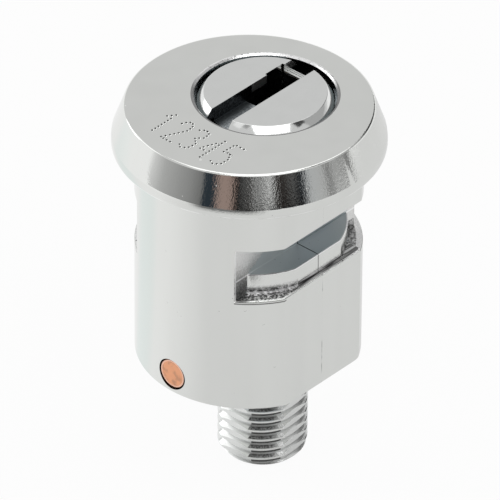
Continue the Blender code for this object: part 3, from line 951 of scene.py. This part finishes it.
def groove_patches(finish, at, coarse):
    """Masks of the clip grooves' faces, and of the painted highlights along their edges."""
    x, y, z = at.x, at.y, at.z
    cavity = inside(z, GROOVE_LEDGE - TOUCH, GROOVE_TOP + TOUCH)
    cavity = cavity * (abs(y) < FLAT_DISTANCE - CUT_EDGE_EASE) * (at.from_axis < BODY_RADIUS - CUT_EDGE_EASE)
    beyond = finish.most(at.from_axis - STEP_RADIUS, abs(y) - STEP_FLAT)
    skin = finish.most(at.from_axis - BODY_RADIUS, abs(y) - FLAT_DISTANCE)

    side = cavity * inside(beyond, -SIDE_SKIN, HAIR) * (z < STEP_LEVEL - HAIR)
    floor = cavity * (beyond > HAIR) * (z < GROOVE_LEDGE + HAIR)
    ring = floor * (x > RING_START)
    ledge = floor - ring
    lean = finish.most(z - STEP_LEVEL, 0.0) * END_LEAN + (coarse - 0.5) * END_RAGGEDNESS
    right_end = (x > STEP_END) * (at.from_axis < BEND_RADIUS - BEND_SKIN)
    ends = cavity * finish.most(x < lean - STEP_END, right_end) * (1 - side) * (1 - floor)
    bend = cavity * (x > 0) * (at.from_axis > BEND_RADIUS - BEND_SKIN) * (abs(y) < BEND_HALF_WIDTH + HAIR)
    walls = finish.most(cavity - side - ledge - ends - bend, 0.0)

    # Darker towards the foot of the step's side: painted shade in the groove's crease, laid over the plate's
    # real grain.
    rough_side = side * finish.soft_step(z, FOOT_LINE_TOP, ROUGH_TOP, 1.0, 0.0) * (x < ROUGH_END)
    side_foot = side * inside(x, ROUGH_END, RING_START) * (z < FOOT_TOP)
    # Painted shade on the ring's floor next to the bend's wall.
    ring_shade = ring * (at.from_axis < BEND_RADIUS + HAIR)
    # The foot, rim, lip and end lines are painted highlights along the grooves' edges.
    foot_line = side * (x < ROUGH_END) * (z < FOOT_LINE_TOP)
    rim_line = cavity * (abs(z - STEP_LEVEL) < CUT_EDGE_EASE) * (beyond > -CUT_EDGE_EASE)
    lip_line = ledge * (skin > -LIP_LINE_WIDTH) * (coarse > LIP_LINE_GAPS)
    end_line = ends * (x < 0) * (skin > -END_LINE_WIDTH)
    return {
        "walls": walls,
        "side": side,
        "ends": ends,
        "ring": ring,
        "matted": ledge + rough_side,
        "flat_foot": finish.most(side_foot, ledge * (x > ROUGH_END)),
        "low_ends": finish.most(ring_shade, ends * (x > 0) * (z < ROUGH_TOP)),
        "white_lines": finish.most(foot_line, lip_line, rim_line, end_line),
        "step_seam": side * inside(x, *STEP_SEAM),
        "seam": walls * (abs(x) < SEAM_HALF_WIDTH * 0.7),
    }


def skin_shade_seam_and_glint(finish, at):
    """Masks of the dark lines under the grooves, a painted shade line under each ledge and the parting line
    below it, and of the broken painted highlight along the flange's edge.
    """
    x, y, z = at.x, at.y, at.z
    # A painted shade line along the skin just under each groove's ledge.
    under_lip_shade = (abs(y) > GROOVE_WALL) * (x < UNDER_LIP_END) * inside(z, *UNDER_LIP_BAND)
    low_seam = (z < GROOVE_LEDGE) * (abs(y) > FLAT_DISTANCE - SIDE_SKIN) * inside(x, *LOW_SEAM)
    low_seam = low_seam * finish.soft_step(finish.noise(LOW_SEAM_BREAKS, detail=3.0), 0.45, 0.65) * 0.6
    # A broken painted highlight along the flange's lower rounded edge.
    edge_glint = (at.from_axis > BODY_RADIUS + MM) * inside(z, *EDGE_GLINT_BAND)
    edge_glint = edge_glint * finish.soft_step(finish.noise(EDGE_GLINT_SIZE, detail=3.0), 0.38, 0.56)
    return finish.most(under_lip_shade * 0.75, low_seam), edge_glint


def groove_layers(finish, at, groove, coarse, speckle):
    """Tones of the grooves and of the marks beside them, in the order in which they lie."""
    shade_and_seam_lines, edge_glint = skin_shade_seam_and_glint(finish, at)
    streaks = finish.noise(STREAK_SIZE, (0.06, 1, 1), 1.0)
    # Painted shade on the grooves' left ends, darker towards the bottom; their right ends stay light.
    falling = finish.soft_step(at.z, *END_FADE)
    end_shading = 0.1 + finish.most(falling * (at.x < 0), at.x > 0) * 0.8
    ends_share = finish.math("MINIMUM", speckle * 0.35 + end_shading, 1.0)
    return [
        (groove["walls"], WALL_TONE),
        # Real grain of the rough plate, mottled dark and light, with painted shade fading in towards the foot
        # of the step's side.
        (groove["matted"], finish.mottled(coarse, 0.42, 0.66, 0.08, 0.85)),
        (groove["flat_foot"], finish.mottled(streaks, 0.42, 0.58, 0.17, 0.75)),
        # Painted shade line under each ledge, and the parting line's own dark tone.
        (shade_and_seam_lines, gray(0.06)),
        (groove["step_seam"] * 0.8, gray(0.06)),
        # Broken painted highlight along the flange's edge.
        (edge_glint, gray(0.99)),
        (groove["ends"], finish.mix(ends_share, gray(0.1), (0.8, 0.8, 0.79, 1))),
        (groove["ring"], finish.mix(speckle, gray(0.66), gray(0.84))),
        # Painted shade, mottled, on the ring's inner floor and on the low part of the grooves' right ends.
        (groove["low_ends"], finish.mottled(coarse, 0.38, 0.66, 0.16, 0.66)),
        (groove["side"] * (at.x > RING_START), SIDE_END_TONE),
        # Painted highlights along the grooves' edges.
        (groove["white_lines"], gray(0.97)),
    ]


def face_layers(finish, at, core, lip, seam, coarse):
    """Tones of the recess, its lip and the number's dots: painted shade in the recess and the dots, a painted
    shadow behind the keyway, and painted highlights on the lip's far side.
    """
    # Painted shadow on the recess behind the keyway.
    behind_slot = (at.x > SLOT_SHADOW_START) * (abs(at.y) < SLOT_SHADOW_HALF_WIDTH)
    recess_floor = core * (1 - behind_slot) * (at.z < FACE - RECESS_DEPTH + TOUCH)
    # Painted highlights on the lip's far side, over a dark painted shade round the rest of it.
    highlight_side = finish.soft_step(finish.along(LIP_HIGHLIGHT_SIDE, PLUG_X), *LIP_HIGHLIGHT_START)
    lip_highlight = finish.soft_step(coarse, 0.32, 0.46) * highlight_side
    # Painted shade in the number's dots.
    dent_shade = inside(at.z, FACE - 2 * DOT_DEPTH, FACE - HAIR / 2) * (at.x < -RECESS_RADIUS * 0.7)
    dent_shade = dent_shade * (at.from_axis < FACE_RADIUS - 3 * RIM_ROUND)
    return [
        # Painted shade in the recess: dark on its wall and black behind the keyway, lighter on its floor.
        (core, finish.mix(behind_slot, (0.24, 0.27, 0.28, 1), gray(0.02))),
        (recess_floor, (0.6, 0.64, 0.66, 1)),
        # The lip's painted shade, with painted highlights on its far side.
        (lip, finish.mix(lip_highlight, gray(0.3), gray(0.97))),
        # Painted shade in the dots, and the parting line's own dark tone.
        (dent_shade + seam, gray(0.08)),
    ]


def bright_plate():
    """Polished plate over a casting, rough and grainy where tools and polish didn't reach, with painted shade
    low in the grooves, in the recess and in the dots, and painted highlights along edges.
    """
    finish = Finish("bright_plate")
    at = Spot(finish)
    waves = finish.noise(WAVE_SIZE, (1, 1, 0.1), 1.0)
    peel = finish.noise(PEEL_SIZE, (1, 1, 0.7), roughness=0.6)
    grain = finish.noise(GRAIN_SIZE, detail=3.0, roughness=0.7)
    coarse = finish.noise(COARSE_SIZE, roughness=0.7)
    speckle = finish.soft_step(grain, 0.4, 0.66)
    pits = finish.soft_step(finish.noise(PIT_SIZE, detail=1.0), 0.77, 0.8)
    specks = finish.soft_step(finish.noise(SPECK_SIZE, detail=1.0), 0.76, 0.79)

    groove = groove_patches(finish, at, coarse)
    unpolished = groove["matted"] + groove["ends"]
    core = (at.from_plug < RECESS_RADIUS + HAIR) * (at.z < FACE - RECESS_EDGE * 0.8)
    lip = inside(at.from_plug, RECESS_RADIUS - HAIR, RECESS_RADIUS + RECESS_EDGE * 2)
    lip = lip * (at.z > FACE - RECESS_EDGE * 1.1)

    tone = finish.mix(waves, (0.75, 0.76, 0.74, 1), (0.8, 0.81, 0.79, 1))
    tone = finish.layered(tone, groove_layers(finish, at, groove, coarse, speckle))
    tone = finish.layered(tone, face_layers(finish, at, core, lip, groove["seam"], coarse))
    tone = finish.mix(specks * groove["walls"] * 0.6, tone, gray(0.1))
    rough = 0.02 + waves * 0.02 + groove["walls"] * 0.3 + unpolished * 0.25
    rough = rough + core * 0.15 + groove["side"] * 0.12
    front = finish.soft_step(finish.along(PEEL_SIDE), *PEEL_START)
    uneven = front * 0.3 + unpolished * 0.9 + lip * 0.7
    height = waves * 0.8 + peel * (0.12 + front * 0.42) + grain * uneven - pits
    bump = finish.bump(height, PLATE_RELIEF, 0.6)
    return finish.set(Base_Color=tone, Metallic=1.0, Roughness=rough, Normal=bump)


def keyway_layers(finish, at, slot, grain, speckle):
    """Tones of the keyway: painted shade on its walls, and the pale floor of its entry, painted darker
    towards the far wall, with painted glints along its near edge.
    """
    x, y, z = at.x, at.y, at.z
    sill = inside(z, FACE - SILL_DEPTH - SILL_SKIN, FACE + MARGIN) * (x > PLUG_X)
    entry_level = FACE - ENTRY_DEPTH
    entry = inside(z, entry_level - ENTRY_SKIN, entry_level + ENTRY_SKIN) * (x < PLUG_X + SHELF_END + MARGIN)
    # The entry's floor is painted darker towards the keyway's far wall as shade, with painted glints along
    # its near edge.
    near = finish.soft_step(y - KEYWAY_SHIFT + (grain - 0.5) * MM, *ENTRY_FADE)
    entry_glint = (y < KEYWAY_SHIFT - KEYWAY_WIDTH / 2 + ENTRY_EDGE_WIDTH) * (grain > 0.5)
    # Painted shade on the keyway's walls, near black.
    slot_shade = finish.mix(speckle, (0.012, 0.013, 0.015, 1), (0.08, 0.085, 0.09, 1))
    floor = finish.mix(speckle, (0.32, 0.36, 0.38, 1), (0.8, 0.85, 0.87, 1))
    floor = finish.mix(entry_glint, finish.mix(near, (0.16, 0.18, 0.19, 1), floor), gray(1))
    return [(slot * (1 - sill), finish.mix(entry, slot_shade, floor))]


def thread_layers(finish, at, flanks, corners, speckle):
    """Tones of the thread: rough flanks with painted shade on them at one corner and along the root, painted
    shade in wedge-shaped patches beside the flats, and painted glints.
    """
    across_x = at.x - PLUG_X
    tail = at.z < SHOULDER
    root_shade = tail * (at.from_plug < TAIL_ROOT_RADIUS + ROOT_SKIN) * corners
    wedge_shade = finish.soft_step(across_x, *WEDGE_FADE) * (at.y < 0) * (abs(at.y) > abs(across_x))
    wedge_shade = wedge_shade * tail * (finish.most(abs(across_x), abs(at.y)) < TAIL_FLAT - TOUCH)
    wedge_shade = wedge_shade * (at.from_plug < WEDGE_REACH)
    fading = finish.soft_step(across_x, *FLANK_FADE)
    flank_glint = flanks * 0.9 * inside(across_x, *SPARKLE_BAND) * (speckle > 0.3)
    return [
        # Painted shade on the flanks at the -X, -Y corner.
        (flanks * fading, finish.mix(speckle, gray(0.08), gray(0.36))),
        # Painted shade along the thread's root.
        (root_shade, gray(0.12)),
        # Painted shade in wedge-shaped patches beside the -Y flat.
        (wedge_shade * 0.6, gray(0.1)),
        # Painted glints on the flanks.
        (flank_glint, gray(0.95)),
    ]


def satin_plate():
    """The plug's plate, rough in the keyway, where little of it reached, with painted shade in the keyway and
    on the thread.
    """
    finish = Finish("satin_plate")
    at = Spot(finish)
    patches = finish.noise(PLUG_PATCH_SIZE)
    grain = finish.noise(PLUG_GRAIN_SIZE, detail=3.0, roughness=0.7)
    speckle = finish.soft_step(grain, 0.4, 0.62)
    slot = (abs(at.y - KEYWAY_SHIFT) < KEYWAY_WIDTH / 2 + HAIR / 2) * inside(at.z, SHOULDER, PLUG_FACE - HAIR)
    corners = (abs(at.x - PLUG_X) > CORNER_SIDE) * (at.y < CORNER_FRONT)
    flanks = (at.z < SHOULDER) * inside(at.from_plug, *FLANK_BAND) * corners

    tone = finish.mix(patches, (0.74, 0.75, 0.74, 1), (0.79, 0.8, 0.79, 1))
    tone = finish.layered(tone, keyway_layers(finish, at, slot, grain, speckle))
    tone = finish.layered(tone, thread_layers(finish, at, flanks, corners, speckle))
    in_tail = (at.z < SHOULDER) * (at.from_plug < TAIL_FLAT)
    rough = 0.08 + patches * 0.05 + slot * 0.22 + flanks * 0.2 + in_tail * 0.2
    bump = finish.bump(patches * 0.5 + grain * (0.1 + slot + flanks), PLATE_RELIEF, 0.5)
    return finish.set(Base_Color=tone, Metallic=1.0, Roughness=rough, Normal=bump)


def copper():
    """The end of the copper pin, cut off and a little stained."""
    finish = Finish("copper")
    stain = finish.noise(COPPER_STAIN_SIZE, detail=3.0)
    grain = finish.noise(COPPER_GRAIN_SIZE)
    y, z = finish.axis("Y"), finish.axis("Z")
    from_middle = finish.math("SQRT", y * y + (z - RETAINER_LEVEL) * (z - RETAINER_LEVEL))
    tone = finish.mix(finish.soft_step(stain, 0.45, 0.7), (0.86, 0.42, 0.24, 1), (0.62, 0.32, 0.2, 1))
    tone = finish.mix(from_middle > RETAINER_RADIUS - COPPER_RING, tone, (0.92, 0.56, 0.42, 1))
    tone = finish.mix(from_middle > RETAINER_RADIUS - COPPER_RIM, tone, (0.03, 0.012, 0.008, 1))
    bump = finish.bump(grain, 0.02 * MM, 0.5)
    return finish.set(Base_Color=tone, Metallic=1.0, Roughness=0.34 + stain * 0.12, Normal=bump)


def small_metal(name, first, second, rough):
    finish = Finish(name)
    patches = finish.noise(METAL_PATCH_SIZE)
    tone = finish.mix(patches, (*first, 1), (*second, 1))
    bump = finish.bump(finish.noise(METAL_GRAIN_SIZE), 0.01 * MM, 0.4)
    return finish.set(Base_Color=tone, Metallic=1.0, Roughness=rough + patches * 0.08, Normal=bump)


def paint(item, material):
    item.data.materials.clear()
    item.data.materials.append(material)


# Studio

def glow(finish, color):
    """Turns a material into a plain light source of a given colour."""
    return finish.set(Base_Color=gray(0), Specular_IOR_Level=0.0, Emission_Color=color,
                      Emission_Strength=1.0)


def floor_finish():
    """White to the camera and pale to the metal, and matte under the lamps, which keeps the shadow."""
    finish = Finish("studio_floor")
    seen = finish.node("ShaderNodeLightPath", output="Is Camera Ray")
    mirrored = finish.node("ShaderNodeLightPath", output="Is Glossy Ray")
    through = finish.node("ShaderNodeLightPath", output="Is Transmission Ray")
    spot = finish.node("ShaderNodeVectorMath", {"operation": "NORMALIZE"}, {0: finish.place((1, 1, 0))})
    lit = finish.node("ShaderNodeVectorMath", {"operation": "DOT_PRODUCT"},
                      {0: spot, 1: toward(FLOOR_LIGHT_SIDE, 0, 1)}, "Value")
    front = finish.node("ShaderNodeVectorMath", {"operation": "DOT_PRODUCT"},
                        {0: spot, 1: toward(FLOOR_DARK_SIDE, 0, 1)}, "Value")
    far = finish.soft_step(front, 0.85, 0.96) * finish.soft_step(finish.distance(0), *FLOOR_DARK_REACH)
    wide = finish.soft_step(finish.distance(0), *FLOOR_FAR_REACH)
    at_left = FLOOR_GLOW_AT_LEFT + wide * FLOOR_FAR_GLOW
    in_metal = FLOOR_GLOW_IN_METAL + finish.soft_step(lit, 0.1, 0.95) * at_left
    share = seen * FLOOR_GLOW + (mirrored + through) * in_metal * (1 - far)
    shade = finish.mix(far * mirrored, gray(FLOOR_SHADE), gray(FLOOR_DARK_SHADE))
    matte = finish.node("ShaderNodeBsdfDiffuse", {}, {"Color": shade})
    tint = finish.mix(finish.soft_step(lit, 0.93, 1.0) * mirrored * (1 - wide), gray(1), FLOOR_TINT)
    light = finish.node("ShaderNodeEmission", {}, {"Color": tint, "Strength": 1.0})
    both = finish.node("ShaderNodeMixShader", {}, {0: share, 1: matte, 2: light})
    finish.tree.links.new(both.socket, finish.tree.nodes["Material Output"].inputs["Surface"])
    return finish.material


def make_floor():
    deselect_all()
    bpy.ops.mesh.primitive_plane_add(size=FLOOR_SIZE, location=(0, 0, FLOOR_LEVEL))
    floor = bpy.context.object
    floor.name = "studio_floor"
    paint(floor, floor_finish())


def toward(azimuth, elevation, distance):
    """A place seen from the lock, turned from the camera's side to its right, and up from the floor."""
    turned = CAMERA_AZIMUTH - math.radians(90) + math.radians(azimuth)
    level = math.radians(elevation)
    out = math.cos(level)
    return Vector((math.cos(turned) * out, math.sin(turned) * out, math.sin(level))) * distance


def aim(item):
    item.rotation_euler = (Vector((0, 0, FACE)) - item.location).to_track_quat("-Z", "Y").to_euler()


def add_softbox(name, azimuth, elevation, size, brightness):
    """A rectangular lamp that looks as bright as a surface of the given shade."""
    lamp = bpy.data.lights.new(name, "AREA")
    lamp.shape = "RECTANGLE"
    lamp.size, lamp.size_y = size
    lamp.energy = brightness * math.pi * size[0] * size[1]
    item = bpy.data.objects.new(name, lamp)
    bpy.context.scene.collection.objects.link(item)
    item.location = toward(azimuth, elevation, SOFTBOX_DISTANCE) + Vector((0, 0, FACE))
    aim(item)


def keep_for_mirrors(item):
    """Hides a card from all but the metal, as a studio hides its cards outside the picture."""
    item.visible_camera = False
    item.visible_diffuse = False
    item.visible_shadow = False
    item.visible_transmission = False


def add_card(name, azimuth, elevation, size, shade):
    deselect_all()
    place = toward(azimuth, elevation, CARD_DISTANCE) + Vector((0, 0, FACE))
    bpy.ops.mesh.primitive_plane_add(size=1.0, location=place)
    card = bpy.context.object
    card.name = name
    card.scale = (*size, 1)
    aim(card)
    paint(card, glow(Finish(name), gray(shade)))
    keep_for_mirrors(card)


def stripe_stops(stripes):
    """Ramp stops for stripes given by their edges, in degrees, and the colour at each edge."""
    stops = []
    for start, end, first, last in stripes:
        stops.append(((start + STRIPE_BLUR) / 360 + 0.5, first))
        stops.append(((end - STRIPE_BLUR) / 360 + 0.5, last))
    return stops


def room_finish():
    """The dim side of a room, seen past the table: upright stripes round the camera's side."""
    finish = Finish("dim_room")
    spot = finish.node("ShaderNodeTexCoord", output="Object")
    turned = finish.node("ShaderNodeMapping", {}, {"Vector": spot,
                                                   "Rotation": (0, 0, math.radians(90) - CAMERA_AZIMUTH)})
    side = finish.node("ShaderNodeSeparateXYZ", {}, {"Vector": turned}, "Y")
    front = finish.node("ShaderNodeSeparateXYZ", {}, {"Vector": turned}, "X")
    angle = finish.math("ARCTAN2", side, front)
    share = angle * (1 / math.tau) + 0.5
    left = finish.node("ShaderNodeValToRGB", {"stops": stripe_stops(LEFT_STRIPES)}, {"Fac": share})
    right = finish.node("ShaderNodeValToRGB", {"stops": stripe_stops(RIGHT_STRIPES)}, {"Fac": share})
    color = finish.mix(share > 0.5, left, right)
    start, end = (0.5 + bearing / 360 for bearing in SKIRTING_BEARINGS)
    foot = (finish.axis("Z") < SKIRTING_HEIGHT) * inside(share, start, end)
    return glow(finish, finish.mix(foot, color, BLACK))


def add_room():
    """A low curved wall in front of the lock, which the flange's bevel mirrors."""
    deselect_all()
    bpy.ops.mesh.primitive_cylinder_add(vertices=ROUND_FACETS, radius=ROOM_DISTANCE, depth=ROOM_HEIGHT,
                                        end_fill_type="NOTHING", location=(0, 0, ROOM_HEIGHT / 2))
    room = bpy.context.object
    room.name = "dim_room"
    apply_place(room)
    paint(room, room_finish())
    keep_for_mirrors(room)


def make_studio():
    make_floor()
    add_room()
    for softbox in SOFTBOXES:
        add_softbox(*softbox)
    for card in CARDS:
        add_card(*card)
    world = bpy.data.worlds.new("studio_world")
    bpy.context.scene.world = world
    world.use_nodes = True
    background = world.node_tree.nodes["Background"]
    background.inputs["Color"].default_value = gray(WORLD_SHADE)
    background.inputs["Strength"].default_value = 1.0


def make_camera():
    lens = bpy.data.cameras.new("camera")
    lens.lens = CAMERA_LENS
    lens.sensor_width = SENSOR_WIDTH
    lens.clip_start = 0.05
    lens.clip_end = 20.0
    camera = bpy.data.objects.new("camera", lens)
    bpy.context.scene.collection.objects.link(camera)
    back = Vector((math.sin(CAMERA_AZIMUTH) * math.cos(CAMERA_ELEVATION),
                   -math.cos(CAMERA_AZIMUTH) * math.cos(CAMERA_ELEVATION), math.sin(CAMERA_ELEVATION)))
    side = Vector((math.cos(CAMERA_AZIMUTH), math.sin(CAMERA_AZIMUTH), 0))
    target = side * CAMERA_SIDE_SHIFT + Vector((0, 0, FACE - CAMERA_AIM_DEPTH))
    camera.location = target + back * CAMERA_DISTANCE
    level = (-back).to_track_quat("-Z", "Y").to_matrix()
    camera.rotation_euler = (level @ Matrix.Rotation(CAMERA_ROLL, 3, "Z")).to_euler()
    bpy.context.scene.camera = camera


def main():
    make_camera()
    housing = make_housing()
    plug = make_plug()
    paint(housing, bright_plate())
    paint(plug, satin_plate())
    nodes = frame["nodes"]
    paint(nodes["retaining_pin"], copper())
    brass = small_metal("brass", (0.74, 0.57, 0.3), (0.66, 0.48, 0.22), 0.25)
    spring = small_metal("spring_steel", (0.5, 0.5, 0.5), (0.42, 0.42, 0.43), 0.28)
    for index in range(1, PIN_COUNT + 1):
        paint(nodes[f"key_pin_{index}"], brass)
        paint(nodes[f"driver_pin_{index}"], brass)
        paint(nodes[f"pin_spring_{index}"], spring)
    make_studio()
    bpy.context.scene.view_settings.view_transform = "Standard"


main()
